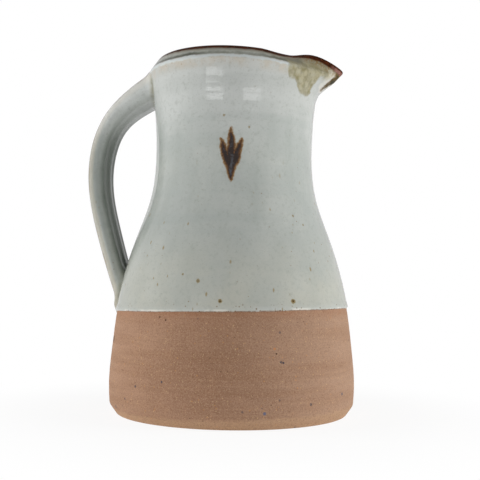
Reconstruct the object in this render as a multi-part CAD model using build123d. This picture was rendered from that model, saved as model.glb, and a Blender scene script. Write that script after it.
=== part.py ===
from build123d import *
import math
import os

# Stoneware crock jug: a thrown pot with a pulled spout, a pulled strap handle luted on with slip,
# and the glaze coats fused to them. Millimetres, +Z up, +X towards the spout, handle towards -X.
# The origin is the centre of the flat foot.

# Thrown pot, outside of the clay: radius and height of each ring the wall passes through
foot_radius = 68.0
heel_radius = 72.2
heel_height = 6.0
belly_radius = 72.7
belly_height = 16.0
flank_radius = 71.1
flank_height = 38.0
hip_radius = 68.0
hip_height = 62.0
shoulder_radius = 57.2
shoulder_height = 102.0
throat_radius = 48.8
throat_height = 126.0
waist_radius = 45.8
waist_height = 150.0
collar_radius = 46.5
collar_height = 174.0
ridge_radius = 50.4
ridge_height = 198.2

# Rim: a bevel that runs in from the ridge to the lip, tipped down towards the spout
lip_radius = 45.4
rim_height = 205.4
rim_tilt = 2.4
lip_thickness = 3.4
lip_rounding = 1.0

# Pulled spout
spout_half_angle = 38.0
spout_start = 187.0
spout_throat_height = 192.0
spout_throat_reach = 50.4
spout_ridge_reach = 58.8
spout_tip_reach = 64.2
spout_tip_height = 200.3
spout_tip_radius = 5.0
spout_turn_reach = 22.0
spout_saddle_reach = 35.0
spout_saddle_dip = 0.5
spout_crest_reach = 43.0
spout_crest_rise = 2.4
spout_wall = 5.4

# Wall
floor_thickness = 8.0
floor_corner = 12.0
lower_wall = 6.5
upper_wall = 5.2

# Handle: a strap, thick at its root on the neck and thin at its tail on the belly
handle_root_height = 193.0
handle_root_sink = 6.0
handle_root_fall = 0.6
handle_shoulder_reach = 72.3
handle_shoulder_height = 176.6
handle_reach = 83.2
handle_reach_height = 142.0
handle_knee_reach = 77.6
handle_knee_height = 107.4
handle_tail_reach = 65.6
handle_tail_height = 68.2
handle_tail_sink = 12.0
handle_tail_lean = 0.36
handle_root_width = 33.0
handle_root_thickness = 15.5
handle_grip_width = 28.0
handle_grip_thickness = 9.8
handle_tail_width = 26.0
handle_tail_thickness = 9.0
handle_squareness = 2.5

# Slip beds under the handle's two ends
slip_thickness = 1.0
slip_bead = 1.3

# Glaze coats
glaze_thickness = 0.6
glaze_line_height = 61.0
glaze_line_slope = 1.3
rim_band = 2.2

# Iron pigment mark on the neck: three strokes from one base
mark_height = 146.0
mark_azimuth = -82.0
mark_length = 29.0
mark_stroke = 5.0
mark_fan = 17.0
mark_proud = 0.2

# Rings of the wall between the heel and the spout, and slopes that follow from the sizes above
wall_rings = [
    (belly_height, belly_radius),
    (flank_height, flank_radius),
    (hip_height, hip_radius),
    (shoulder_height, shoulder_radius),
    (throat_height, throat_radius),
    (waist_height, waist_radius),
    (collar_height, collar_radius),
]
tilt_slope = math.tan(math.radians(rim_tilt))
bevel_slope = (ridge_radius - lip_radius) / (rim_height - ridge_height)
flare_rise = spout_tip_height + tilt_slope * spout_tip_reach - ridge_height
flare_slope = (spout_tip_reach - spout_ridge_reach) / flare_rise
top_height = rim_height + 2 * spout_crest_rise + 3
room = 3 * belly_radius


def ring(height, radius, reach=None):
    """A closed section of the pot: round, or drawn out to a blunt point where its reach passes its radius."""
    reach = radius if reach is None else reach
    share = min(1, max(0, (height - waist_height) / (ridge_height - waist_height)))
    lean = math.radians(rim_tilt) * share
    plane = Plane((0, 0, height), (math.cos(lean), 0, -math.sin(lean)), (math.sin(lean), 0, math.cos(lean)))

    half = math.radians(spout_half_angle)
    side = Vector(radius * math.cos(half), radius * math.sin(half))
    along = Vector(math.sin(half), -math.cos(half))
    tip = Vector(reach, 0)
    roundness = 4 / 3 * math.tan(half / 4) / (2 * math.sin(half / 2))
    side_control = side + along * ((tip - side).length * roundness)
    pull = min(1, (reach - radius) / (spout_tip_reach - ridge_radius))
    tip_radius = radius + (spout_tip_radius - radius) * pull
    tip_control = Vector(reach, math.sqrt(tip_radius * (reach - side_control.X) / 1.5))

    arc_steps = 24
    points = []
    for step in range(arc_steps):
        angle = half + (2 * math.pi - 2 * half) * step / arc_steps
        points.append(Vector(radius * math.cos(angle), radius * math.sin(angle)))
    spout_steps = 5
    near = []
    for step in range(spout_steps + 1):
        t = step / spout_steps
        weights = ((1 - t) ** 3, 3 * t * (1 - t) ** 2, 3 * t * t * (1 - t), t**3)
        controls = (side, side_control, tip_control, tip)
        near.append(sum((point * weight for point, weight in zip(controls, weights)), Vector(0, 0)))
    far = [Vector(point.X, -point.Y) for point in near]
    points += far + near[-2:0:-1]
    seam = next(i for i, point in enumerate(points) if point.X < 0)
    return plane * Wire([Spline(*points[seam:], *points[:seam], periodic=True)])


def outside(growth=0):
    """The filled outside of the pot, grown by a coat, up past the lip."""

    def flared(height, ease):
        share = (height - collar_height) / (ridge_height - collar_height)
        return collar_radius + (ridge_radius - collar_radius) * share * ease + growth

    foot = ring(0, foot_radius + growth)
    wall = [ring(heel_height, heel_radius + growth)]
    wall += [ring(height, radius + growth) for height, radius in wall_rings]
    wall += [ring(spout_start, flared(spout_start, 0.7))]
    wall += [ring(spout_throat_height, flared(spout_throat_height, 0.8), spout_throat_reach + growth)]
    wall += [ring(ridge_height, ridge_radius + growth, spout_ridge_reach + growth)]
    rise = top_height - ridge_height
    top_radius = ridge_radius + growth - bevel_slope * rise
    top = ring(top_height, top_radius, spout_ridge_reach + growth + flare_slope * rise)
    heel = Solid.make_loft([foot, wall[0]], ruled=True)
    bevel = Solid.make_loft([wall[-1], top], ruled=True)
    return heel + Solid.make_loft(wall) + bevel


def cavity(shrink=0):
    """The filled inside of the pot, from its rounded floor up past the lip, less a coat."""
    corner = floor_corner - shrink
    side = belly_radius - lower_wall - shrink
    sections = []
    for turn in (0, 25, 50, 75):
        sweep = math.radians(turn)
        rise = corner * (1 - math.cos(sweep))
        sections += [ring(floor_thickness + shrink + rise, side - corner * (1 - math.sin(sweep)))]
    for height, radius in wall_rings[1:]:
        share = (height - belly_height) / (collar_height - belly_height)
        wall = lower_wall + (upper_wall - lower_wall) * share
        sections += [ring(height, radius - wall - shrink)]
    inner_lip = lip_radius - lip_thickness - shrink
    inner_reach = spout_ridge_reach - spout_wall - shrink
    sections += [ring(spout_start, inner_lip)]
    sections += [ring(ridge_height, inner_lip, inner_reach)]
    top = ring(top_height, inner_lip, inner_reach + flare_slope * (top_height - ridge_height))
    return Solid.make_loft(sections) + Solid.make_loft([sections[-1], top], ruled=True)


def lip_height(x):
    """Height of the level part of the lip line, which tips down towards the spout."""
    return rim_height - tilt_slope * x


def above_lip(lift=0):
    """All that lies over the lip line, which dips and swells beside the spout and falls to its tip."""
    turn = (spout_turn_reach, lip_height(spout_turn_reach))
    saddle = (spout_saddle_reach, lip_height(spout_saddle_reach) - spout_saddle_dip)
    crest = (spout_crest_reach, lip_height(spout_crest_reach) + spout_crest_rise)
    tip = (spout_tip_reach, spout_tip_height)
    fall = 1.3 * (crest[1] - tip[1]) / (tip[0] - crest[0])
    level = Line((-room, lip_height(-room)), turn)
    swell = Spline(turn, saddle, crest, tip, tangents=((1, -tilt_slope), (1, -fall)))
    drop = Line(tip, (room, tip[1] - fall * (room - tip[0])))
    up = Line(drop @ 1, (room, room + top_height))
    over = Line(up @ 1, (-room, room + top_height))
    down = Line(over @ 1, level @ 0)
    profile = Plane.XZ.offset(room) * make_face([level, swell, drop, up, over, down])
    return Pos(0, 0, lift) * extrude(profile, -2 * room)


def round_lip(pot, radius):
    """The pot with its lip softened inside and out."""
    faces = [f for f in pot.faces() if f.center().Z > ridge_height and f.normal_at().Z > 0.5]
    edges = [e for f in faces for e in f.edges()]
    free = [e for e in edges if sum(e.is_same(other) for other in edges) == 1]
    return fillet(free, radius)


def strap_section(station, width, thickness):
    """One section of the handle: a flattened oval, a little squarer than an ellipse."""
    points = []
    steps = 24
    for step in range(steps):
        turn = 2 * math.pi * (step + 0.5) / steps
        across = math.copysign(abs(math.cos(turn)) ** (2 / handle_squareness), math.cos(turn))
        through = math.copysign(abs(math.sin(turn)) ** (2 / handle_squareness), math.sin(turn))
        points.append(Vector(across * width / 2, through * thickness / 2))
    return station * Wire([Spline(*points, periodic=True)])


def strap(growth=0):
    """The whole handle, grown by a coat, its two ends run on into the wall."""
    root = (-ridge_radius + handle_root_sink, 0, handle_root_height + handle_root_sink * handle_root_fall)
    tail = (-handle_tail_reach + handle_tail_sink * handle_tail_lean, 0, handle_tail_height - handle_tail_sink)
    path = Spline(
        root,
        (-handle_shoulder_reach, 0, handle_shoulder_height),
        (-handle_reach, 0, handle_reach_height),
        (-handle_knee_reach, 0, handle_knee_height),
        (-handle_tail_reach, 0, handle_tail_height),
        tail,
        tangents=((-1, 0, -handle_root_fall), (handle_tail_lean, 0, -1)),
    )
    widths = (handle_root_width, handle_grip_width, handle_grip_width, handle_tail_width)
    depths = (handle_root_thickness, handle_grip_thickness, handle_grip_thickness, handle_tail_thickness)
    marks = (0, 0.3, 0.6, 1)
    sections = []
    steps = 10
    for step in range(steps + 1):
        at = step / steps
        span = next(i for i in range(3) if at <= marks[i + 1])
        share = (at - marks[span]) / (marks[span + 1] - marks[span])
        ease = share * share * (3 - 2 * share)
        width = widths[span] + (widths[span + 1] - widths[span]) * ease
        depth = depths[span] + (depths[span + 1] - depths[span]) * ease
        station = Plane(path.position_at(at), x_dir=(0, 1, 0), z_dir=path.tangent_at(at))
        sections.append(strap_section(station, width + 2 * growth, depth + 2 * growth))
    return Solid.make_loft(sections)


def stroke(length, width, turn, start):
    """One stroke of the brush: a pointed leaf that leans from its base."""
    outline = [
        ThreePointArc((0, 0), (width / 2, 0.55 * length), (0, length)),
        ThreePointArc((0, length), (-width / 2, 0.55 * length), (0, 0)),
    ]
    return Pos(0, start) * Rot(0, 0, turn) * make_face(outline)


def mark_prism():
    """The strokes of the mark, driven through the wall of the neck."""
    base = -mark_length / 2
    sprig = stroke(mark_length, mark_stroke, 0, base)
    sprig += stroke(0.68 * mark_length, 0.8 * mark_stroke, mark_fan, base + 0.16 * mark_length)
    sprig += stroke(0.68 * mark_length, 0.8 * mark_stroke, -mark_fan, base + 0.16 * mark_length)
    face = math.radians(mark_azimuth)
    plane = Plane((0, 0, mark_height), (-math.sin(face), math.cos(face), 0), (math.cos(face), math.sin(face), 0))
    return extrude(plane * sprig, room)


def one(shape):
    """The largest solid of a cut."""
    return max(shape.solids(), key=lambda solid: solid.volume)


def main():
    os.makedirs("parts", exist_ok=True)

    clay_outside = outside()
    body = round_lip(clay_outside - cavity() - above_lip(), lip_rounding)

    slip_outside = outside(slip_thickness)
    strap_clay = strap()
    strap_bead = strap(slip_bead)
    handle = one(strap_clay - slip_outside)
    handle_glaze = one(strap(glaze_thickness) - strap_clay - slip_outside)
    beds = ((strap_bead & slip_outside) - clay_outside).solids()
    beds = sorted(sorted(beds, key=lambda solid: -solid.volume)[:2], key=lambda solid: solid.center().Z)

    coated = outside(glaze_thickness) - cavity(glaze_thickness) - above_lip(glaze_thickness)
    coat = round_lip(coated, lip_rounding + glaze_thickness) - body
    band = above_lip(-rim_band)
    rim_wash = one(coat & band)
    coats = sorted((coat - band).solids(), key=lambda solid: solid.bounding_box().size.X)
    liner = coats[0]
    dip = Box(room, room, room, align=(Align.CENTER, Align.CENTER, Align.MAX))
    dip = Pos(0, 0, glaze_line_height) * Rot(0, -glaze_line_slope, 0) * dip
    prism = mark_prism()
    mark = one((prism & outside(glaze_thickness + mark_proud)) - clay_outside)
    skin = one(coats[-1] - dip - strap_bead - prism)

    export_step(body, "parts/stoneware_body.step")
    export_step(handle, "parts/pulled_handle.step")
    export_step(beds[1], "parts/upper_handle_slip.step")
    export_step(beds[0], "parts/lower_handle_slip.step")
    export_step(skin, "parts/outer_glaze.step")
    export_step(liner, "parts/liner_glaze.step")
    export_step(handle_glaze, "parts/handle_glaze.step")
    export_step(rim_wash, "parts/rim_iron_wash.step")
    export_step(mark, "parts/brush_mark.step")


main()
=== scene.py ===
import math

import bpy
import numpy as np
from mathutils import Matrix, Vector
from mathutils.bvhtree import BVHTree


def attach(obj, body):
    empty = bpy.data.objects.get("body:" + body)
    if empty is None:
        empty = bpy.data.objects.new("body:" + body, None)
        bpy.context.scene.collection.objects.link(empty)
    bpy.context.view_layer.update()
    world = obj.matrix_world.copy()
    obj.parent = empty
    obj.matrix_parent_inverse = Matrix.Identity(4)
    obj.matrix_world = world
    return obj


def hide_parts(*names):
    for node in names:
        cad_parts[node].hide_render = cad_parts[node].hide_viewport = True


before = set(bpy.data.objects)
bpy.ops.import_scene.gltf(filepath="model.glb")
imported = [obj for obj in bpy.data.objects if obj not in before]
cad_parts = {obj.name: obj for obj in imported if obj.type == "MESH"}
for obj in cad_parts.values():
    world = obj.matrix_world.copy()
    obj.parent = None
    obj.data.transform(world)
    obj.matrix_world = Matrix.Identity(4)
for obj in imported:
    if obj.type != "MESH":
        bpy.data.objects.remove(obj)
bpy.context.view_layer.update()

scene = bpy.context.scene
MM = 0.001

# Sizes of the jug, in millimetres, as the CAD has them
FOOT_RADIUS = 68.0
HEEL_HEIGHT = 6.0
RIDGE_HEIGHT = 198.2
RIDGE_RADIUS = 50.4
WAIST_HEIGHT = 150.0
COLLAR_HEIGHT = 174.0
COLLAR_RADIUS = 46.5
LIP_RADIUS = 45.4
LIP_THICKNESS = 3.4
RIM_HEIGHT = 205.4
RIM_TILT = math.radians(2.4)
WALL_RINGS = (
    (HEEL_HEIGHT, 72.2),
    (16.0, 72.7),
    (38.0, 71.1),
    (62.0, 68.0),
    (102.0, 57.2),
    (126.0, 48.8),
    (WAIST_HEIGHT, 45.8),
    (COLLAR_HEIGHT, COLLAR_RADIUS),
)
LOWER_WALL, UPPER_WALL = 6.5, 5.2
FLOOR_THICKNESS, FLOOR_CORNER = 8.0, 12.0

SPOUT_HALF = math.radians(38.0)
SPOUT_START = 187.0
SPOUT_THROAT = (192.0, 50.4)
START_EASE, THROAT_EASE = 0.7, 0.8
RIDGE_REACH = 58.8
SPOUT_TIP = (64.2, 200.3)
SPOUT_TIP_RADIUS = 5.0
SPOUT_TURN = 22.0
SPOUT_SADDLE, SADDLE_DIP = 35.0, 0.5
SPOUT_CREST, CREST_RISE = 43.0, 2.4
TIP_FALL, TIP_LEAD = 1.3, 8.0
SPOUT_WALL = 5.4

GLAZE = 0.6
GLAZE_LINE = 61.0
GLAZE_SLOPE = math.tan(math.radians(1.3))
RIM_BAND = 2.2

TILT = math.tan(RIM_TILT)
BEVEL = (RIDGE_RADIUS - LIP_RADIUS) / (RIM_HEIGHT - RIDGE_HEIGHT)
FLARE = (SPOUT_TIP[0] - RIDGE_REACH) / (SPOUT_TIP[1] + TILT * SPOUT_TIP[0] - RIDGE_HEIGHT)
TOP_HEIGHT = RIM_HEIGHT + 10.0

# Curves

def smooth(low, high, x):
    """Runs from 0 to 1, with soft ends, as x goes from low to high."""
    t = np.clip((np.asarray(x, float) - low) / (high - low), 0, 1)
    return t * t * (3 - 2 * t)

def path_length(points):
    """How far along a path each of its points lies."""
    return np.concatenate([[0], np.cumsum(np.linalg.norm(np.diff(points, axis=0), axis=1))])

def cubic(xs, ys, first=None, last=None):
    """A cubic through points, as a function; its ends are free unless their slopes are given."""
    xs, ys = np.array(xs, float), np.array(ys, float)
    n, step = len(xs), np.diff(xs)
    system, right = np.zeros((n, n)), np.zeros_like(ys)
    system[0, 0] = system[-1, -1] = 1
    for i in range(1, n - 1):
        system[i, i - 1 : i + 2] = step[i - 1], 2 * (step[i - 1] + step[i]), step[i]
        right[i] = 6 * ((ys[i + 1] - ys[i]) / step[i] - (ys[i] - ys[i - 1]) / step[i - 1])
    if first is not None:
        system[0, :2] = 2 * step[0], step[0]
        system[-1, -2:] = step[-1], 2 * step[-1]
        right[0] = 6 * ((ys[1] - ys[0]) / step[0] - first)
        right[-1] = 6 * (last - (ys[-1] - ys[-2]) / step[-1])
    bend = np.linalg.solve(system, right)

    def at(x):
        x = np.asarray(x, float)
        i = np.clip(np.searchsorted(xs, x) - 1, 0, n - 2)
        h, a, b = step[i], xs[i + 1] - x, x - xs[i]
        if ys.ndim > 1:
            h, a, b = h[:, None], a[:, None], b[:, None]
        return (
            bend[i] * a**3 / (6 * h)
            + bend[i + 1] * b**3 / (6 * h)
            + (ys[i] / h - bend[i] * h / 6) * a
            + (ys[i + 1] / h - bend[i + 1] * h / 6) * b
        )

    return at

# Section of the pot: a radius all round, and a reach along the spout

def flared(height, ease):
    share = (height - COLLAR_HEIGHT) / (RIDGE_HEIGHT - COLLAR_HEIGHT)
    return COLLAR_RADIUS + (RIDGE_RADIUS - COLLAR_RADIUS) * share * ease

outer_heights = [h for h, r in WALL_RINGS] + [SPOUT_START, SPOUT_THROAT[0], RIDGE_HEIGHT]
start_radius = flared(SPOUT_START, START_EASE)
throat_radius = flared(SPOUT_THROAT[0], THROAT_EASE)
ring_radii = [r for h, r in WALL_RINGS] + [start_radius]
wall_radius = cubic(outer_heights, ring_radii + [throat_radius, RIDGE_RADIUS])
wall_reach = cubic(outer_heights, ring_radii + [SPOUT_THROAT[1], RIDGE_REACH])

def outer_size(h):
    """Clay radius and reach of the outside at a height, with the bevels of heel and rim."""
    h = np.asarray(h, float)
    radius = np.where(h > RIDGE_HEIGHT, RIDGE_RADIUS - BEVEL * (h - RIDGE_HEIGHT), wall_radius(h))
    reach = np.where(h > RIDGE_HEIGHT, RIDGE_REACH + FLARE * (h - RIDGE_HEIGHT), wall_reach(h))
    heel = FOOT_RADIUS + (WALL_RINGS[0][1] - FOOT_RADIUS) * h / HEEL_HEIGHT
    radius = np.where(h < HEEL_HEIGHT, heel, radius)
    reach = np.where(h < HEEL_HEIGHT, heel, np.maximum(reach, radius))
    return radius, reach

inner_side = WALL_RINGS[1][1] - LOWER_WALL
inner_heights, inner_radii = [], []
for turn in (0, 25, 50, 75):
    sweep = math.radians(turn)
    inner_heights.append(FLOOR_THICKNESS + FLOOR_CORNER * (1 - math.cos(sweep)))
    inner_radii.append(inner_side - FLOOR_CORNER * (1 - math.sin(sweep)))
for h, r in WALL_RINGS[2:]:
    share = (h - WALL_RINGS[1][0]) / (COLLAR_HEIGHT - WALL_RINGS[1][0])
    inner_heights.append(h)
    inner_radii.append(r - LOWER_WALL - (UPPER_WALL - LOWER_WALL) * share)
INNER_LIP = LIP_RADIUS - LIP_THICKNESS
inner_heights += [SPOUT_START, RIDGE_HEIGHT]
cavity_radius = cubic(inner_heights, inner_radii + [INNER_LIP, INNER_LIP])
cavity_reach = cubic(inner_heights, inner_radii + [INNER_LIP, RIDGE_REACH - SPOUT_WALL])

def inner_size(h):
    """Clay radius and reach of the inside at a height."""
    h = np.asarray(h, float)
    radius = np.where(h > RIDGE_HEIGHT, INNER_LIP, cavity_radius(h))
    flare = RIDGE_REACH - SPOUT_WALL + FLARE * (h - RIDGE_HEIGHT)
    reach = np.where(h > RIDGE_HEIGHT, flare, cavity_reach(h))
    return radius, np.maximum(reach, radius)

# Columns of the pot: round the back by angle, and along the spout by the share of its curve

BACK_COLUMNS, SPOUT_COLUMNS = 280, 48
COLUMNS = BACK_COLUMNS + 2 * SPOUT_COLUMNS
column_angle = SPOUT_HALF + (2 * math.pi - 2 * SPOUT_HALF) * np.arange(BACK_COLUMNS) / BACK_COLUMNS
column_share = np.concatenate([np.arange(SPOUT_COLUMNS), np.arange(SPOUT_COLUMNS, 0, -1)]) / SPOUT_COLUMNS
spout_sign = np.concatenate([-np.ones(SPOUT_COLUMNS), np.ones(SPOUT_COLUMNS)])

def per_column(value):
    return np.broadcast_to(np.asarray(value, float), (COLUMNS,))

def ring_points(height, radius, reach):
    """Points of the pot's section, one per column; each argument is a number or one per column."""
    height, radius, reach = per_column(height), per_column(radius), per_column(reach)
    x, y = np.empty(COLUMNS), np.empty(COLUMNS)
    x[:BACK_COLUMNS] = radius[:BACK_COLUMNS] * np.cos(column_angle)
    y[:BACK_COLUMNS] = radius[:BACK_COLUMNS] * np.sin(column_angle)
    r, tip, t = radius[BACK_COLUMNS:], reach[BACK_COLUMNS:], column_share
    side_x, side_y = r * math.cos(SPOUT_HALF), r * math.sin(SPOUT_HALF)
    chord = np.hypot(tip - side_x, side_y)
    handle = chord * 4 / 3 * math.tan(SPOUT_HALF / 4) / (2 * math.sin(SPOUT_HALF / 2))
    near_x, near_y = side_x + math.sin(SPOUT_HALF) * handle, side_y - math.cos(SPOUT_HALF) * handle
    pull = np.minimum(1, (tip - r) / (SPOUT_TIP[0] - RIDGE_RADIUS))
    tip_radius = r + (SPOUT_TIP_RADIUS - r) * pull
    far_y = np.sqrt(np.maximum(tip_radius * (tip - near_x), 0) / 1.5)
    w0, w1, w2, w3 = (1 - t) ** 3, 3 * t * (1 - t) ** 2, 3 * t * t * (1 - t), t**3
    x[BACK_COLUMNS:] = w0 * side_x + w1 * near_x + w2 * tip + w3 * tip
    y[BACK_COLUMNS:] = (w0 * side_y + w1 * near_y + w2 * far_y) * spout_sign
    lean = RIM_TILT * np.clip((height - WAIST_HEIGHT) / (RIDGE_HEIGHT - WAIST_HEIGHT), 0, 1)
    return np.stack([x * np.cos(lean), y, height - x * np.sin(lean)], 1)

# Lip: level round the back, then a saddle, a crest and the fall to the spout's tip

def lip_level(x):
    return RIM_HEIGHT - TILT * x

level_run = (-20.0, 0.0, SPOUT_TURN)
saddle = (SPOUT_SADDLE, lip_level(SPOUT_SADDLE) - SADDLE_DIP)
crest = (SPOUT_CREST, lip_level(SPOUT_CREST) + CREST_RISE)
fall = TIP_FALL * (crest[1] - SPOUT_TIP[1]) / (SPOUT_TIP[0] - SPOUT_CREST)
lip_swell = cubic(
    (*level_run, saddle[0], crest[0], SPOUT_TIP[0], SPOUT_TIP[0] + TIP_LEAD),
    (*map(lip_level, level_run), saddle[1], crest[1], SPOUT_TIP[1], SPOUT_TIP[1] - TIP_LEAD * fall),
)

def lip_line(x):
    return np.where(x < SPOUT_TURN, lip_level(x), lip_swell(x))

# Wobble: small, fixed sums of waves, so that the pot looks thrown and not turned

# Finger rings as pitch, depth and seed
OUTER_RINGS = ((6.4, 0.035, 1.0), (2.6, 0.012, 4.0))
INNER_RINGS = (8.5, 0.22, 3.0)
SWAY = 0.16
EDGE_SOFTNESS = 0.9

plan = ring_points(100.0, 60.0, 60.0)
bearing = np.arctan2(plan[:, 1], plan[:, 0])

def wave(angle, seed, turns=(2, 3, 5, 9)):
    total = np.zeros_like(np.asarray(angle, float))
    for i, n in enumerate(turns):
        total = total + np.sin(n * angle + seed * 1.7 + 2.3 * i * seed) / (i + 1)
    return total / 2.0

def throwing(h, pitch, depth, seed):
    """Depth of the finger rings left on the wheel: a spiral that wanders a little."""
    climb = h / pitch - bearing / (2 * math.pi)
    drift = 0.35 * wave(bearing + h / 23.0, seed)
    swell = 0.65 + 0.35 * np.sin(h / 11.0 + seed)
    return depth * swell * np.sin(2 * math.pi * (climb + drift))

def soft_outer(h):
    """The outside's radius and reach with its corners softened."""
    sizes = [outer_size(np.maximum(h + k * EDGE_SOFTNESS, 0)) for k in (-1, -0.5, 0, 0.5, 1)]
    return sum(s[0] for s in sizes) / len(sizes), sum(s[1] for s in sizes) / len(sizes)

def wall_points(h, growth):
    """The thrown outside at a height per column, grown by a coat."""
    h = per_column(h)
    radius, reach = soft_outer(h)
    ease = smooth(8, 20, h) * (1 - smooth(188, 197, h))
    rings = sum(throwing(h, *ring) for ring in OUTER_RINGS)
    sway = SWAY * wave(bearing + h / 160.0, 2.0, (2, 3))
    push = growth + ease * rings + sway * smooth(0, 20, h)
    return ring_points(h, radius + push, reach + push)

def cavity_points(h, shrink):
    """The thrown inside at a height per column, narrowed by a coat."""
    h = per_column(h)
    radius, reach = inner_size(h)
    ease = 1 - smooth(180, 195, h)
    push = shrink + ease * throwing(h, *INNER_RINGS)
    return ring_points(h, radius - push, reach - push)

def outside(heights, growth):
    return [wall_points(h, growth) for h in heights]

def within(heights, shrink):
    return [cavity_points(h, shrink) for h in heights]

def between(low, high, count):
    """Heights per column from low to high, ends included."""
    return [low + (high - low) * t for t in np.linspace(0, 1, count)]

# Heights where each column of the pot meets the lip, the rim band and the glaze line

HALVINGS = 44

def height_where(points_at, coat, offset):
    """The height of each column where its coated wall is an offset above the lip line."""
    low, high = np.full(COLUMNS, WAIST_HEIGHT), np.full(COLUMNS, TOP_HEIGHT + 6)
    for _ in range(HALVINGS):
        middle = (low + high) / 2
        p = points_at(middle, coat)
        above = p[:, 2] > lip_line(p[:, 0]) + offset
        high = np.where(above, middle, high)
        low = np.where(above, low, middle)
    return (low + high) / 2

out_lip, out_band = (height_where(wall_points, GLAZE, offset) for offset in (GLAZE, -RIM_BAND))
in_lip, in_band = (height_where(cavity_points, GLAZE, offset) for offset in (GLAZE, -RIM_BAND))
clay_out_lip, clay_in_lip = (height_where(side, 0.0, 0.0) for side in (wall_points, cavity_points))

line_x = wall_points(GLAZE_LINE, 0.0)[:, 0]
line_wobble = 0.28 * wave(bearing, 5.0, (3, 7, 13)) + 0.12 * wave(bearing, 9.0, (29, 41))
glaze_line = GLAZE_LINE + GLAZE_SLOPE * line_x + line_wobble

# Paint masks, worked out from where a point lies on the jug: millimetres, bearings in degrees, and shares

# Bearings where the clay's painted shade is strongest, with its opposite, and where its painted sheen is strongest
FRONT_BEARING, SHEEN_BEARING = -80.0, -12.0
SPOUT_SIDES, NEAR_SIDES = (14.0, 42.0), (34.0, 66.0)
LINE_RISE, LINE_SPAN = 0.8, (-32.0, 0.0)
BEAK_HALF, BEAK_TALL, BEAK_TOP, BEAK_START = 6.2, 10.5, 200.5, 51.0
# What the masks hold inside, so that the paint of the outside stays off
NO_RUN, NO_BEAK, NO_RIDGE, NO_LINE = -9.0, 9.0, -60.0, 30.0
# Runs of wash down from the spout: bearing, height of the end and half width
DRIP_ROUNDING, DRIP_SIDE = 3.6, 1.3
DRIPS = (
    (-25.5, 183.3, 8.0),
    (-33.0, 188.6, 5.4),
    (-39.5, 190.0, 4.4),
    (-13.0, 194.0, 7.0),
    (24.0, 187.0, 5.0),
    (35.0, 192.0, 4.4),
    (11.0, 194.0, 7.0),
)

def drip(across, z, bottom, half):
    """How far a point lies inside a tongue of a half width that ends rounded at a height."""
    end = z - bottom - DRIP_ROUNDING * np.abs(across / half) ** 3
    return np.minimum(end, DRIP_SIDE * (half - np.abs(across)))

def masks(points, inside=False):
    x, y, z = points.T
    side = np.degrees(np.arctan2(y, x))
    around = np.radians(side) * RIDGE_RADIUS
    over = z + x * TILT - RIDGE_HEIGHT - LINE_RISE * smooth(*LINE_SPAN, x)
    line = z - GLAZE_LINE - GLAZE_SLOPE * x
    beak = np.hypot(y / BEAK_HALF, (z - BEAK_TOP) / BEAK_TALL) + np.maximum(BEAK_START - x, 0)
    run = np.full(len(points), NO_RUN)
    for place, bottom, half in DRIPS:
        run = np.maximum(run, drip(around - math.radians(place) * RIDGE_RADIUS, z, bottom, half))
    if inside:
        run, beak, over = (np.full(len(points), value) for value in (NO_RUN, NO_BEAK, NO_RIDGE))
        line = np.maximum(line, NO_LINE)
    return {
        "below_lip": lip_line(x) + GLAZE - z,
        "over_ridge": over,
        "run": run,
        "beak": beak,
        "line": line,
        "spout": 1 - smooth(*SPOUT_SIDES, np.abs(side)),
        "near_spout": 1 - smooth(*NEAR_SIDES, np.abs(side)),
        "front_and_back": 0.5 + 0.5 * np.cos(2 * np.radians(side - FRONT_BEARING)),
        "right_sheen": 0.5 + 0.5 * np.cos(np.radians(side - SHEEN_BEARING)),
    }

def rows_masks(rows, inside=False):
    return masks(np.concatenate(rows), inside)

# Meshes

SHARP, STRAP_SHARP = math.radians(50), math.radians(60)

def make_mesh(name, points, faces, attributes, sharp=SHARP):
    """An object with its faces turned outwards, a value per point for each mask, and hard edges where it bends."""
    corners = points[np.array([f[:3] for f in faces])]
    inside = np.einsum("ij,ij->i", corners[:, 0], np.cross(corners[:, 1], corners[:, 2])).sum() < 0
    mesh = bpy.data.meshes.new(name)
    mesh.from_pydata([tuple(p) for p in points * MM], [], [f[::-1] for f in faces] if inside else faces)
    mesh.update()
    mesh.polygons.foreach_set("use_smooth", np.ones(len(mesh.polygons), bool))
    for key, values in attributes.items():
        layer = mesh.attributes.new(key, "FLOAT", "POINT")
        layer.data.foreach_set("value", np.asarray(values, np.float32))
    mesh.set_sharp_from_angle(angle=sharp)
    obj = bpy.data.objects.new(name, mesh)
    scene.collection.objects.link(obj)
    return obj

def sheet_faces(rows, columns=COLUMNS, start=0, wrap_rows=False):
    """Quads of a grid that closes round its columns, and round its rows too if asked."""
    faces = []
    for r in range(rows if wrap_rows else rows - 1):
        a, b = start + r * columns, start + (r + 1) % rows * columns
        for c in range(columns):
            d = (c + 1) % columns
            faces.append((a + c, a + d, b + d, b + c))
    return faces

def fan(start, tip, columns=COLUMNS, turned=False):
    """Triangles from a ring, whose points are numbered from a start, to a tip."""
    ring = [(start + c, start + (c + 1) % columns) for c in range(columns)]
    return [(b, a, tip) if turned else (a, b, tip) for a, b in ring]

def loop_shell(name, rows, attributes):
    """A closed shell from rows that run along its face, round its border and back under it."""
    return make_mesh(name, np.concatenate(rows), sheet_faces(len(rows), wrap_rows=True), attributes)

def capped(name, rows, attributes, first, last):
    """A closed skin from rows that begin and end in a point."""
    points = np.concatenate([np.array([first])] + rows + [np.array([last])])
    end = len(rows) * COLUMNS + 1
    faces = sheet_faces(len(rows), start=1)
    faces += fan(1, 0, turned=True) + fan(end - COLUMNS, end)
    return make_mesh(name, points, faces, attributes)

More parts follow.
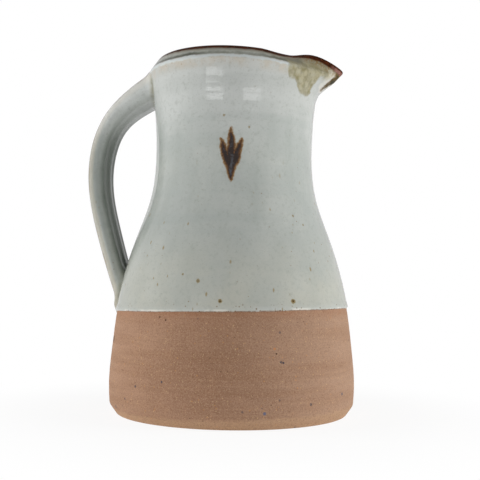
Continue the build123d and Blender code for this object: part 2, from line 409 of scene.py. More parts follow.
def two_sided(name, face_rows, face_end, back_rows, back_end):
    """A closed shell in the pot: its face and back end in a point each, and join along their first rows."""
    points = np.concatenate(face_rows + [face_end[None]] + back_rows + [back_end[None]])
    tip = len(face_rows) * COLUMNS
    start = tip + 1
    back_tip = start + len(back_rows) * COLUMNS
    faces = sheet_faces(len(face_rows)) + fan(tip - COLUMNS, tip)
    faces += [f[::-1] for f in sheet_faces(len(back_rows), start=start)]
    faces += fan(back_tip - COLUMNS, back_tip, turned=True)
    for c in range(COLUMNS):
        d = (c + 1) % COLUMNS
        faces.append((d, c, start + c, start + d))
    return make_mesh(name, points, faces, masks(points, inside=True))

def corner(p0, p1, p2, steps):
    """Rows along a soft corner from p0 to p2, bending at p1, without its ends."""
    return [(1 - t) ** 2 * p0 + 2 * t * (1 - t) * p1 + t * t * p2 for t in np.arange(1, steps) / steps]

LIP_STEPS, LIP_CROWN = 7, 0.16

def lip_face(rows_out, rows_in, out_edge, in_edge, round_off):
    """Rows over the lip, from the outer wall to the inner one, its corners softened."""
    across = in_edge - out_edge
    width = np.linalg.norm(across, axis=1, keepdims=True)
    step = across / width * np.minimum(round_off, 0.4 * width)
    first, last = out_edge + step, in_edge - step
    rows = rows_out + corner(rows_out[-1], out_edge, first, LIP_STEPS) + [first]
    for t in (0.25, 0.5, 0.75):
        middle = first + (last - first) * t
        middle[:, 2] += LIP_CROWN * 4 * t * (1 - t)
        rows.append(middle)
    return rows + [last] + corner(last, in_edge, rows_in[0], LIP_STEPS) + rows_in

# Clay pot: wire-cut foot, bevelled heel, thrown wall, lip and inside

FOOT_RINGS = (3, 8, 14, 20, 26, 32, 38, 44, 50, 55, 59, 62.5, 65, 66.6)
FOOT_LIFT, WIRE_DEPTH = 0.22, 0.16
FOOT_MIDDLE = (0, 0, 0.3)
FOOT_OVERHANG = 0.2
HEEL_ROWS = (0.9, 1.5, 2.3, 3.2, 4.1, 4.9, 5.5, 6.0, 6.5, 7.1, 7.9, 8.8)
FLOOR_RINGS = (0.93, 0.84, 0.74, 0.64, 0.54, 0.44, 0.34, 0.25, 0.16, 0.08)
FLOOR_SPIRAL, SPIRAL_PITCH = 0.24, 1.6
CLAY_ROUND, CLAY_LIP_STEP = 1.0, 1.2

def foot_rows():
    """The underside, with the swirl that a wire leaves."""
    rows = []
    for r in FOOT_RINGS:
        ring = ring_points(0.0, r, r)
        swirl = np.sin((ring[:, 0] * 0.8 + 0.012 * ring[:, 1] ** 2) * 0.9)
        ring[:, 2] = (FOOT_LIFT + WIRE_DEPTH * swirl) * (1 - smooth(60, 66, r))
        rows.append(ring)
    return rows

def floor_profile(inset):
    """Radius and height down the inside wall and round its corner, moved in by a coat."""
    turns = np.linspace(1.5, 0.0, 16)
    h = np.concatenate([np.linspace(40, 21, 14), FLOOR_THICKNESS + FLOOR_CORNER * (1 - np.cos(turns))])
    r = cavity_radius(h)
    slope = np.gradient(r, h)
    length = np.hypot(1, slope)
    return r - inset / length, h + inset * slope / length

def floor_rows(inset):
    """Rows down the inside to the middle of the floor, and that middle."""
    rows = []
    radii, heights = floor_profile(inset)
    for r, z in zip(radii, heights):
        push = throwing(per_column(z), *INNER_RINGS) * smooth(10, 26, z)
        rows.append(ring_points(z, r - push, r - push))
    bottom = heights[-1]
    for share in FLOOR_RINGS:
        r = radii[-1] * share
        ring = ring_points(bottom, r, r)
        ring[:, 2] += FLOOR_SPIRAL * np.sin(r / SPIRAL_PITCH - bearing) * smooth(0, 12, r)
        rows.append(ring)
    return rows, np.array([0.0, 0.0, bottom])

def build_clay():
    rows = foot_rows()
    sharp_foot = ring_points(0.0, FOOT_RADIUS + FOOT_OVERHANG, FOOT_RADIUS + FOOT_OVERHANG)
    rows += corner(rows[-1], sharp_foot, wall_points(HEEL_ROWS[0], 0.0), 5)
    rows += outside(HEEL_ROWS, 0.0)
    rows += outside(np.arange(9.6, 66.0, 0.8), 0.0)
    rows += outside(np.arange(68.0, 180.0, 6.0), 0.0)
    rows += outside(between(181.0, clay_out_lip - CLAY_LIP_STEP, 22), 0.0)
    back = within(between(clay_in_lip - CLAY_LIP_STEP, 180.0, 20), 0.0)
    back += within(np.arange(176.0, 42.0, -6.0), 0.0)
    edges = wall_points(clay_out_lip, 0.0), cavity_points(clay_in_lip, 0.0)
    floor, middle = floor_rows(0.0)
    rows = lip_face(rows, back, *edges, CLAY_ROUND) + floor
    end = [np.zeros((1, 3))]
    return capped("clay_pot", rows, rows_masks(end + rows + end), FOOT_MIDDLE, middle)

# Glaze coats: outside from a rolled edge to the rim band, and inside from the band to the floor

SINK = 0.12
ROLL, ROLL_WIDTH, ROLL_FADE = 0.95, 1.1, (1.0, 6.0)
EDGE_STEPS = (0.0, 0.03, 0.1, 0.2, 0.34, 0.52, 0.74, 1.0, 1.35, 1.8, 2.4, 3.2, 4.2, 5.4, 6.8)
LINER_FOOT = 42.0

def coat_thickness(above):
    """Thickness of the glaze at a distance over its line: a rolled edge, then an even coat."""
    roll = ROLL * np.sqrt(np.clip(1 - (1 - np.minimum(above / ROLL_WIDTH, 1)) ** 2, 0, 1))
    return roll + (GLAZE - ROLL) * smooth(*ROLL_FADE, above)

def build_coat():
    rows = [wall_points(glaze_line + s, coat_thickness(s) - (SINK if s == 0 else 0)) for s in EDGE_STEPS]
    rows += outside(between(glaze_line + EDGE_STEPS[-1] + 1.0, 192.0, 124), GLAZE)
    rows += outside(between(192.5, out_band, 34), GLAZE)
    rows += outside(between(out_band, glaze_line + 0.6, 16), -SINK)
    return loop_shell("celadon_coat", rows, rows_masks(rows))

def build_liner():
    floor, middle = floor_rows(GLAZE)
    deep, deep_middle = floor_rows(-SINK)
    face = within(between(in_band, LINER_FOOT, 110), GLAZE) + floor
    back = within(between(in_band, LINER_FOOT, 16), -SINK) + deep
    return two_sided("liner_coat", face, middle, back, deep_middle)

# Rim wash: over the lip, from band to band

WASH_ROUND = 1.7
WASH_SINK, WASH_DROP = 0.6, np.array([0, 0, 0.5])

def build_wash():
    rows_out = outside(between(out_band, out_lip - WASH_ROUND, 4), GLAZE)
    rows_in = within(between(in_lip - WASH_ROUND, in_band, 4), GLAZE)
    rows = lip_face(rows_out, rows_in, wall_points(out_lip, GLAZE), cavity_points(in_lip, GLAZE), WASH_ROUND)
    sunk_out = wall_points(clay_out_lip, -WASH_SINK) - WASH_DROP
    sunk_in = cavity_points(clay_in_lip, -WASH_SINK) - WASH_DROP
    under = within(between(in_band, clay_in_lip - 1.0, 4), -SINK)
    under += [sunk_in, (sunk_in + sunk_out) / 2, sunk_out]
    under += outside(between(clay_out_lip - 1.0, out_band, 4), -SINK)
    half = len(rows) // 2
    out, back = rows_masks(rows[:half]), rows_masks(rows[half:] + under, inside=True)
    return loop_shell("rim_wash", rows + under, {key: np.concatenate([out[key], back[key]]) for key in out})

clay_pot = build_clay()
celadon_coat = build_coat()
liner_coat = build_liner()
rim_wash = build_wash()

# Handle: a pulled strap that runs into the wall at both ends, with a soft fillet of slip and glaze there

ROOT_SINK, ROOT_FALL, ROOT_DROP = 6.0, 0.6, 0.8
TAIL_SINK, TAIL_LEAN = 12.0, 0.36
ROOT_HEIGHT = 193.0
HANDLE_VIA = ((-72.3, 176.6), (-83.2, 142.0), (-77.6, 107.4), (-65.6, 68.2))
HANDLE_WIDTHS = (33.0, 28.0, 28.0, 26.0)
HANDLE_DEPTHS = (15.5, 9.8, 9.8, 9.0)
HANDLE_MARKS = (0.0, 0.3, 0.6, 1.0)
HANDLE_HALF = (14.0, 5.0)
HANDLE_BITE = 2.0
SQUARENESS = 2.5
GROOVE, GROOVE_TURNS = 0.275, 9.0
FILLET, FILLET_REACH, FILLET_FALL = 2.4, 5.0, 2.2
ROOT_THINNING = 0.55
STATIONS, AROUND = 190, 76

def handle_path():
    """The strap's middle line, in the plane of the spout, by even steps."""
    root = (-RIDGE_RADIUS + ROOT_SINK, ROOT_HEIGHT + ROOT_SINK * ROOT_FALL)
    tail = (HANDLE_VIA[-1][0] + TAIL_SINK * TAIL_LEAN, HANDLE_VIA[-1][1] - TAIL_SINK)
    points = np.array((root, *HANDLE_VIA, tail))
    first, last = (np.array(v) / np.linalg.norm(v) for v in ((-1, -ROOT_FALL), (TAIL_LEAN, -1)))
    along = path_length(points)
    curve = cubic(along, points, first, last)(np.linspace(0, along[-1], 1200))
    length = path_length(curve)
    even = np.linspace(0, length[-1], STATIONS)
    return np.stack([np.interp(even, length, curve[:, k]) for k in range(2)], 1)

def strap_section(turn):
    """Across and through the squarish section, from -1 to 1, at angles round it."""
    return (np.sign(f(turn)) * np.abs(f(turn)) ** (2 / SQUARENESS) for f in (np.cos, np.sin))

def even_section():
    """The section at points that lie evenly along its border."""
    turn = 2 * np.pi * np.arange(4000) / 4000
    length = path_length(np.stack([*strap_section(turn)], 1) * HANDLE_HALF)
    return strap_section(np.interp(np.linspace(0, length[-1], AROUND, endpoint=False), length, turn))

def strap_size(at):
    """Width and depth of the strap at a share of its length."""
    span = min(int(np.searchsorted(HANDLE_MARKS, at, side="right")) - 1, len(HANDLE_MARKS) - 2)
    ease = smooth(HANDLE_MARKS[span], HANDLE_MARKS[span + 1], at)
    return (sizes[span] + (sizes[span + 1] - sizes[span]) * ease for sizes in (HANDLE_WIDTHS, HANDLE_DEPTHS))

def wall_at(points):
    """Clay radius of the pot at the heights of points."""
    return outer_size(np.clip(points[:, 2] + points[:, 0] * TILT, 0, TOP_HEIGHT))[0]

def off_wall(points):
    """How far points lie outside the pot's glaze."""
    return np.hypot(points[:, 0], points[:, 1]) - wall_at(points) - GLAZE

def kept_out(points):
    """Points pushed out where they would come through to the inside of the pot."""
    push = np.maximum((wall_at(points) - HANDLE_BITE) / np.hypot(points[:, 0], points[:, 1]), 1.0)
    return points * np.stack([push, push, np.ones_like(push)], 1)

def strap_rows(growth, fillet):
    """Rows round the strap, grown by a coat and spread where it meets the wall, and its section."""
    across, through = even_section()
    middle = handle_path()
    forward = np.gradient(middle, axis=0)
    forward /= np.linalg.norm(forward, axis=1, keepdims=True)
    outward = np.stack([forward[:, 1], -forward[:, 0]], 1)
    groove = GROOVE * np.cos(across * GROOVE_TURNS) * np.sign(through) * (1 - smooth(0.5, 0.85, np.abs(across)))
    rows = []
    for at, (x, z), (out_x, out_z) in zip(np.linspace(0, 1, STATIONS), middle, outward):
        width, depth = strap_size(at)
        sag = 0.11 * math.sin(9 * at + 0.4) + 0.06 * math.sin(23 * at)
        lowered = ROOT_DROP * smooth(0.2, 0.8, through) * (1 - smooth(0.12, 0.3, at))
        wide = across * (width / 2 + growth + sag)
        deep = through * (depth / 2 + growth) + groove - lowered
        ring = np.stack([x + out_x * deep, wide, z + out_z * deep], 1)
        if fillet:
            spread = fillet * np.clip(1 - np.maximum(off_wall(ring), 0) / FILLET_REACH, 0, 1) ** FILLET_FALL
            spread = spread * (1 - ROOT_THINNING * smooth(0.1, 0.7, through) * (at < 0.5))
            norm = np.hypot(across * depth, through * width) + 1e-9
            wide = wide + spread * across * depth / norm
            deep = deep + spread * through * width / norm
            ring = np.stack([x + out_x * deep, wide, z + out_z * deep], 1)
        rows.append(kept_out(ring))
    return rows, across, through

def strap(name, growth, fillet):
    rows, across, through = strap_rows(growth, fillet)
    points = np.concatenate(rows + [kept_out(rows[i].mean(0, keepdims=True)) for i in (0, -1)])
    end = STATIONS * AROUND
    faces = sheet_faces(STATIONS, AROUND)
    faces += fan(0, end, AROUND, turned=True) + fan(end - AROUND, end + 1, AROUND)
    ends = [0.0, 0.0]
    data = masks(points)
    data["joint"] = off_wall(points)
    data["strap_edge"] = np.concatenate([np.tile(smooth(0.55, 0.8, np.abs(across)), STATIONS), ends])
    data["strap_face"] = np.concatenate([np.tile(through, STATIONS), ends])
    return make_mesh(name, points, faces, data, STRAP_SHARP)

handle_coat = strap("handle_coat", GLAZE, FILLET)
handle_core = strap("handle_core", 0.0, 0.0)

# Iron mark: three strokes from one base, soft at their edges, on a thin patch of the glaze

MARK_HEIGHT, MARK_AZIMUTH = 146.0, math.radians(-82.0)
MARK_LENGTH, MARK_STROKE, MARK_FAN = 29.0, 5.0, math.radians(17.0)
# The side strokes as shares of the middle one
SIDE_LENGTH, SIDE_STROKE, SIDE_START = 0.68, 0.8, 0.16
PATCH_HALF, PATCH_TALL = 9.5, 18.5
PATCH_COLUMNS, PATCH_ROWS = 77, 149
PATCH_LIFT, INK_LIFT, BORDER_SINK, PATCH_DEPTH = 0.015, 0.13, 0.1, 0.25
RAY_START = 0.12

def stroke_depth(u, v, length, width, turn, start):
    """How far a point lies inside one stroke, in millimetres; below zero it is outside."""
    c, s = math.cos(turn), math.sin(turn)
    along = c * (v - start) + s * u
    across = c * u - s * (v - start)
    belly = width / 2 * np.sin(np.pi * np.clip(along / length, 0, 1) ** 0.85) ** 0.8
    over = np.maximum(np.maximum(-along, along - length), 0)
    return belly - np.hypot(across, over)

def mark_depth(u, v):
    """How far a point of the patch lies inside the mark; its strokes waver a little."""
    u = u + 0.18 * np.sin(v * 0.55 + 0.7) + 0.05 * np.sin(v * 2.3)
    base = -MARK_LENGTH / 2
    depth = stroke_depth(u, v, MARK_LENGTH, MARK_STROKE, 0.0, base)
    length, width, start = SIDE_LENGTH * MARK_LENGTH, SIDE_STROKE * MARK_STROKE, base + SIDE_START * MARK_LENGTH
    for turn in (-MARK_FAN, MARK_FAN):
        depth = np.maximum(depth, stroke_depth(u, v, length, width, turn, start))
    return depth

def build_mark():
    across, up = np.linspace(-PATCH_HALF, PATCH_HALF, PATCH_COLUMNS), np.linspace(-PATCH_TALL, PATCH_TALL, PATCH_ROWS)
    u, v = (side.ravel() for side in np.meshgrid(across, up))
    depth = mark_depth(u, v)
    height = MARK_HEIGHT + v
    angle = MARK_AZIMUTH + u / (wall_radius(height) + GLAZE)
    border = np.minimum(PATCH_HALF - np.abs(u), PATCH_TALL - np.abs(v))
    lift = np.where(border < 0.01, -BORDER_SINK, PATCH_LIFT + INK_LIFT * smooth(-0.4, 1.4, depth))
    coat = celadon_coat.data
    skin = BVHTree.FromPolygons([p.co for p in coat.vertices], [tuple(f.vertices) for f in coat.polygons])
    top, low = [], []
    for a, h, rise in zip(angle, height, lift):
        out = Vector((math.cos(a), math.sin(a), 0))
        hit = skin.ray_cast(Vector((0, 0, h * MM)) + out * RAY_START, -out)
        place, normal = np.array(hit[0]) / MM, np.array(hit[1])
        top.append(place + normal * rise)
        low.append(place - normal * PATCH_DEPTH)
    points, count = np.array(top + low), len(top)
    grid = np.arange(count).reshape(PATCH_ROWS, PATCH_COLUMNS)
    a, b, c, d = (part.ravel() for part in (grid[:-1, :-1], grid[:-1, 1:], grid[1:, 1:], grid[1:, :-1]))
    faces = np.stack([a, b, c, d], 1).tolist() + (count + np.stack([a, d, c, b], 1)).tolist()
    rim = np.concatenate([grid[0], grid[1:, -1], grid[-1, -2::-1], grid[-2:0:-1, 0]]).tolist()
    faces += [[b, a, count + a, count + b] for a, b in zip(rim, rim[1:] + rim[:1])]
    data = masks(points)
    data["ink"] = np.tile(depth, 2)
    return make_mesh("brush_mark_patch", points, faces, data)

brush_patch = build_mark()

# Materials: colours are written as red, green and blue up to 255, as they look

def srgb(tone):
    """A tone as the linear colour that a shader takes."""
    shares = (c / 255 for c in tone)
    return tuple(((c + 0.055) / 1.055) ** 2.4 if c > 0.04 else c / 12.92 for c in shares)

class Nodes:
    """Writes a node tree as a list of steps; a value is a number or a socket."""

    def __init__(self, tree):
        self.tree = tree
        tree.nodes.clear()

    def feed(self, socket, value):
        if isinstance(value, bpy.types.NodeSocket):
            self.tree.links.new(value, socket)
        elif socket.type == "RGBA":
            socket.default_value = (*value[:3], 1.0)
        else:
            socket.default_value = value

    def node(self, kind, *values, settings=None, **inputs):
        """The outputs of a new node; values go to its first sockets in order, and inputs to sockets by name."""
        made = self.tree.nodes.new("ShaderNode" + kind)
        for key, value in (settings or {}).items():
            setattr(made, key, value)
        for socket, value in zip(made.inputs, values):
            self.feed(socket, value)
        for key, value in inputs.items():
            self.feed(made.inputs[key.replace("_", " ")], value)
        return made.outputs

    def math(self, kind, *values):
        return self.node("Math", *values, settings={"operation": kind})[0]

    def vector(self, kind, *values):
        return self.node("VectorMath", *values, settings={"operation": kind})

    def times(self, total, *values):
        for value in values:
            total = self.math("MULTIPLY", total, value)
        return total

    def plus(self, total, *values):
        for value in values:
            total = self.math("ADD", total, value)
        return total

    def step(self, value, low, high, first=0.0, last=1.0, kind="SMOOTHSTEP"):
        """Runs smoothly from first to last as a value goes from low to high."""
        settings = {"interpolation_type": kind}
        return self.node("MapRange", value, low, high, first, last, settings=settings)[0]

class Shade(Nodes):
    """The nodes of one material of the jug, with the colour that is painted so far."""

    def __init__(self, name):
        self.material = bpy.data.materials.new(name)
        self.material.use_nodes = True
        super().__init__(self.material.node_tree)
        self.place = self.node("TexCoord")["Object"]
        self.known = {}

    def mix(self, share, a, b):
        """A mix of two colours, each a tone or a socket."""
        mixed = self.node("Mix", share, settings={"data_type": "RGBA", "clamp_factor": True})[2]
        for socket, colour in zip(mixed.node.inputs[6:8], (a, b)):
            self.feed(socket, srgb(colour) if isinstance(colour, tuple) else colour)
        return mixed

    def paint(self, colour, strength, *shares):
        """Lays a colour over what is there, as densely as the strength and all shares say."""
        self.colour = self.mix(self.times(*shares, strength), self.colour, colour)

    def stretched(self, factors):
        return self.place if factors is None else self.vector("MULTIPLY", self.place, factors)[0]

    def noise(self, size, detail=3.0, rough=0.55, factors=None):
        """Soft noise whose lumps are about a size in millimetres."""
        where = self.stretched(factors)
        return self.node("TexNoise", Vector=where, Scale=1 / MM / size, Detail=detail, Roughness=rough)["Fac"]

    def cloud(self, size, low, high, first=0.0, detail=3.0):
        """Patches of a size in millimetres, from first to 1."""
        return self.step(self.noise(size, detail), low, high, first)

    def specks(self, size, share, radius, soft, factors=None):
        """Round spots on a grid of a size in millimetres; share is how many of the cells have one."""
        cells = self.node("TexVoronoi", Vector=self.stretched(factors), Scale=1 / MM / size)
        chance = self.node("SeparateColor", Color=cells["Color"])
        kept = self.math("LESS_THAN", chance[0], share)
        reach = self.math("MULTIPLY_ADD", chance[1], radius / size, 0.35 * radius / size)
        inside = self.math("SUBTRACT", reach, cells["Distance"])
        return self.times(self.step(inside, -soft / size, soft / size), kept)

    def spot(self, point, radius):
        """A single soft spot round a point of the jug."""
        away = self.vector("DISTANCE", self.place, [v * MM for v in point])["Value"]
        return self.step(away, radius * MM * 0.55, radius * MM * 1.25, 1.0, 0.0)

    def mask(self, name):
        """The value of a mask."""
        if name not in self.known:
            self.known[name] = self.node("Attribute", settings={"attribute_name": name})["Fac"]
        return self.known[name]

    def finish(self, rough, height, lift, **inputs):
        bump = self.node("Bump", Strength=1.0, Distance=lift * MM, Height=height)[0]
        inputs.update(Base_Color=self.colour, Roughness=rough, Normal=bump)
        self.node("OutputMaterial", self.node("BsdfPrincipled", **inputs)[0])
        return self.material

def on_wall(azimuth, z, coat=0.0):
    """A point on the wall, or on its coat, at a bearing in degrees and a height."""
    r = float(wall_radius(z)) + coat
    a = math.radians(azimuth)
    return r * math.cos(a), r * math.sin(a), z

# Iron spots in the glaze: bearing, height, radius and how burnt the middle is
IRON_SPOTS = (
    (-96, 77, 1, 0.5),
    (-85.4, 66.6, 1, 1),
    (-51.9, 67, 1.25, 1),
    (-87, 167.3, 0.7, 0.1),
    (-70.1, 161.1, 0.6, 0),
    (-42.4, 113.4, 0.7, 0.2),
    (-36, 108.7, 0.6, 0),
    (-104, 80.5, 0.6, 0.2),
    (150, 92, 0.9, 0.8),
    (96, 71, 1, 1),
    (61, 120, 0.6, 0.3),
)

# Grains that stand out in the bare clay: bearing, height, radius and colour; the largest is an iron chip
CLAY_BITS = (
    (-155.5, 43.5, 2, (58, 44, 38)),
    (-113.9, 57.8, 0.55, (60, 42, 34)),
    (-110.5, 56.3, 0.6, (60, 42, 34)),
    (-61, 39.8, 0.5, (70, 46, 36)),
    (-58, 35.1, 0.65, (66, 62, 74)),
    (-110.2, 24.1, 0.65, (80, 74, 86)),
    (-23.1, 16, 0.95, (100, 96, 106)),
    (-66.3, 9.3, 0.9, (104, 108, 130)),
    (-61.8, 42.3, 0.75, (196, 136, 90)),
    (104, 33, 0.8, (78, 72, 82)),
    (38, 21, 0.7, (66, 48, 40)),
)

TIP_SHEEN, SHEEN_RADIUS = (62, 0, 199.5), 10.5
GLAZE_BEND, CLAY_BEND = 1.5, 1.45

def paint_ground(s, middle, fine, grain, ridge_shade):
    """The glaze itself: mottled and streaked, pale up the neck, warm down to the glaze line, and where asked with
    painted shade under the ridge.
    """
    line, broad = s.mask("line"), s.noise(34)
    bands = s.noise(7, 2, 0.5, (0.05, 0.05, 1))
    s.colour = s.mix(s.step(broad, 0.34, 0.66), (178, 183, 178), (190, 194, 188))
    s.paint((162, 168, 161), 0.4, s.step(s.noise(12, 3, 0.5, (1, 1, 0.16)), 0.4, 0.75))
    s.paint((182, 187, 182), 0.35, s.step(middle, 0.45, 0.8))
    s.paint((168, 175, 171), 0.3, s.step(bands, 0.48, 0.7))
    neck = s.step(s.plus(line, s.times(broad, 30)), 100, 140)
    s.paint((210, 213, 210), 1, neck, s.step(bands, 0.42, 0.66, 0.86, 0.66))
    if ridge_shade:
        # Painted shade: darker up towards the rim's ridge, a little more near the spout
        near = s.step(s.mask("near_spout"), 0, 0.7, 0.17, 0.27)
        s.paint((134, 133, 122), 1, s.step(s.mask("over_ridge"), -44, -3), near)
    s.paint((193, 192, 178), 0.7, s.step(line, 55, 3), s.cloud(22, 0.3, 0.7, 0.4))
    s.paint((160, 164, 156), 0.38, s.step(fine, 0.5, 0.75))
    s.paint((146, 151, 144), 0.26, s.step(grain, 0.52, 0.75))

def paint_rim(s):
    """A warm strip under the ridge, a pale line on it that is partly a painted highlight, and over it a bevel with a
    dark line along its foot.
    """
    over, spout = s.mask("over_ridge"), s.mask("spout")
    off_spout = s.math("SUBTRACT", 1, spout)
    ragged = s.plus(over, s.times(s.noise(5), 2.4), s.times(s.noise(1.6), 1.2), -1.8)
    patches = s.cloud(7, 0.38, 0.62, 0.2)
    s.paint((190, 173, 148), 0.45, s.step(ragged, -7.5, -2.6), patches, off_spout)
    burnt = s.times(s.specks(1.5, 0.55, 0.3, 0.12), s.step(ragged, -4.4, -2.6), s.step(ragged, -0.8, -1.6))
    s.paint((150, 118, 78), 0.6, burnt, off_spout)
    bevel = s.mix(s.cloud(3, 0.35, 0.65), (152, 154, 143), (170, 172, 162))
    # A dark line along the foot of the bevel, fainter to the front and back
    ridge_dark_line = s.times(s.step(ragged, 0.1, 0.8), s.step(ragged, 3.4, 1.8))
    ridge_dark_line = s.times(ridge_dark_line, s.step(s.mask("front_and_back"), 0.98, 0.75, 0.36, 0.95))
    s.paint(s.mix(ridge_dark_line, bevel, (60, 64, 46)), 0.95, s.step(over, 0.2, 1.3))
    # Partly glaze breaking paler over the ridge, partly a painted highlight along it
    pale = s.times(s.step(ragged, -1.7, -0.6), s.step(ragged, 1, 0.1))
    s.paint((206, 213, 213), 0.85, pale, s.step(spout, 0.9, 0.35))

def paint_spout(s):
    """Olive flanks darkened partly as painted shade, runs of olive wash, a pale patch lightened as painted light, and
    the wedge under the beak, iron brown and painted shade, which is returned.
    """
    over, spout, near = s.mask("over_ridge"), s.mask("spout"), s.mask("near_spout")
    run = s.plus(s.mask("run"), s.times(s.noise(4, 2), 2.6), -1.3)
    olive = s.mix(s.cloud(3.4, 0.35, 0.65), (132, 124, 84), (164, 157, 124))
    patchy = s.cloud(7, 0.35, 0.62, 0.82, 2)
    # Olive glaze on the bevel by the spout, darkened partly as painted shade
    s.paint((108, 107, 84), 0.65, s.step(over, -0.4, 2), near)
    s.paint(olive, 1, s.step(run, -1.5, 1.8), s.step(over, 5.5, 1.5, 0.4, 0.95), patchy)
    # Darker still beside the spout: olive glaze and painted shade
    s.paint((74, 70, 48), 0.75, s.step(over, 0.6, 3), s.step(spout, 0.62, 0.2), s.step(near, 0.5, 0.85))
    lower = s.times(s.step(run, -0.9, 0.2), s.step(run, 2.4, 0.5), s.step(over, -5, -8))
    s.paint((130, 116, 72), 0.35, lower, patchy)
    beak = s.plus(s.mask("beak"), s.times(s.noise(3), 1), s.times(s.noise(1), 0.4), -0.7)
    # Pale glaze round the wedge, lightened as painted light where the face is in shade
    s.paint((226, 220, 204), 0.6, s.step(beak, 2.1, 1.2), s.cloud(4, 0.3, 0.6, 0.5))
    # The wedge under the beak: iron brown, darkened as painted shade of the underside
    iron_and_shade_wedge = s.step(beak, 1.17, 0.72)
    s.paint(s.mix(s.step(beak, 0.45, 0.95), (44, 44, 26), (106, 82, 36)), 0.95, iron_and_shade_wedge)
    return iron_and_shade_wedge

def paint_iron(s, fine, grain):
    """A pale roll at the glaze line with painted highlights along it, and iron: dots, which are returned, drawn
    flecks, a crowded line, spots.
    """
    line = s.mask("line")
    s.paint((198, 202, 198), 0.5, s.step(line, 3.4, 0.5), s.cloud(5, 0.25, 0.6, 0.45))
    # Painted highlight: cream-white patches along the rolled edge
    s.paint((226, 224, 214), 0.8, s.step(line, 1.7, 0.9), s.cloud(14, 0.5, 0.62))
    dots = s.times(s.specks(4.4, 0.5, 0.34, 0.12), s.step(line, 140, 0, 0.3, 1))
    s.paint((136, 112, 80), 0.7, dots)
    drawn = s.specks(4.4, 0.6, 0.5, 0.24, (1, 1, 0.42))
    s.paint((150, 130, 82), 0.8, drawn, s.step(line, 100, 40), s.step(fine, 0.36, 0.5))
    crowd = s.times(s.specks(1.7, 0.75, 0.36, 0.12), s.step(line, 8, 0.5))
    s.paint((120, 92, 58), 0.75, crowd, s.cloud(9, 0.38, 0.56))
    s.paint((96, 66, 40), 0.9, s.specks(1.2, 0.85, 0.36, 0.14), s.step(line, 0.9, 0.3))
    s.paint((128, 94, 62), 0.75, s.step(line, 0.75, 0.1), s.cloud(2, 0.3, 0.6, 0.3))
    for azimuth, z, radius, burnt in IRON_SPOTS:
        point = on_wall(azimuth, z, GLAZE)
        ragged = s.plus(s.spot(point, radius * 1.3), s.times(grain, 1.6), -0.85)
        s.paint((138, 116, 52), 0.6 + 0.25 * burnt, s.step(ragged, 0.3, 0.8))
        s.paint((76, 48, 16), 0.95 * burnt, s.spot(point, radius * 0.55))
    return dots

def paint_lip(s):
    """The iron wash on the lip, which is returned, with flecks under it at the spout and a sheen on its tip."""
    rim, spout = s.mask("below_lip"), s.mask("spout")
    wander = s.plus(s.times(s.noise(6), 1.6), s.times(spout, 0.9), 1.45)
    depth = s.math("SUBTRACT", wander, rim)
    s.paint((116, 100, 76), 0.8, s.step(depth, -2, 0.2))
    flecks = s.step(s.noise(1.7, 3, 0.7), 0.42, 0.6)
    s.paint((120, 92, 44), 0.8, flecks, s.step(depth, -5.6, -0.6), s.step(spout, 0.3, 0.75))
    wash = s.step(depth, -0.5, 0.5)
    s.paint(s.mix(s.cloud(2.2, 0.35, 0.65), (46, 18, 6), (78, 36, 16)), 0.97, wash)
    sheen = s.times(s.spot(TIP_SHEEN, SHEEN_RADIUS), s.cloud(2.6, 0.3, 0.6, 0.6, 2))
    s.paint((166, 124, 114), 0.75, sheen, s.step(rim, 0.9, 1.9), s.step(rim, 3.8, 2.6))
    return wash

def paint_strap(s):
    """Olive creases at the handle's joints, thin warm glaze on the outer edge lightened upwards as painted light, a
    worn line, painted shade low on the side, and the inner face darkened as painted shade, which is returned.
    """
    line, edge = s.mask("line"), s.mask("strap_edge")
    crease = s.step(s.mask("joint"), 3.2, 0.4)
    s.paint((134, 130, 100), 0.7, crease, s.cloud(5, 0.3, 0.65, 0.4))
    face = s.plus(s.mask("strap_face"), s.times(s.noise(9, 2), 0.16), -0.08)
    # Painted shade: the inner face, which faces the pot, darker, less so near the top
    inner_face_shade = s.times(s.step(face, -0.5, -0.97), s.step(line, 132, 96, 0.1, 1))
    s.paint((100, 108, 98), 0.75, inner_face_shade)
    # Painted shade: the middle of the side darker low down
    s.paint((140, 149, 143), 0.35, s.step(face, -0.7, -0.3), s.step(face, 0.3, -0.1), s.step(line, 128, 100))
    # Thin warm glaze on the outer edge, lightened upwards as painted light
    edge_glaze_and_light = s.mix(s.step(line, 92, 118), (186, 180, 164), (224, 221, 212))
    s.paint(edge_glaze_and_light, 0.62, s.step(face, -0.14, 0.2), edge)
    worn = s.step(s.noise(4.5, 3, 0.6, (1, 1, 0.3)), 0.36, 0.66, 0.1, 1)
    s.paint((132, 112, 84), 0.7, s.step(face, 0.4, 0.62), s.step(face, 1, 0.86), edge, worn)
    return inner_face_shade

def paint_mark(s):
    """Iron pigment: golden at the edge, then brown, then nearly black, with a painted grey-blue sheen in patches
    where it is thick.
    """
    ragged = s.plus(s.times(s.noise(1.8), 2.2), s.times(s.noise(0.5, 2), 1.2), -1.7)
    ink = s.plus(s.mask("ink"), ragged)
    s.paint((140, 96, 6), 0.88, s.step(ink, -1, -0.1))
    s.paint((84, 46, 3), 0.95, s.step(ink, -0.4, 0.5))
    s.paint((30, 13, 5), 0.95, s.step(ink, 0.2, 1.2))
    # Painted sheen: grey-blue patches on the thickest pigment
    s.paint((86, 90, 98), 0.6, s.cloud(4.5, 0.52, 0.66), s.step(ink, 0.9, 1.4))

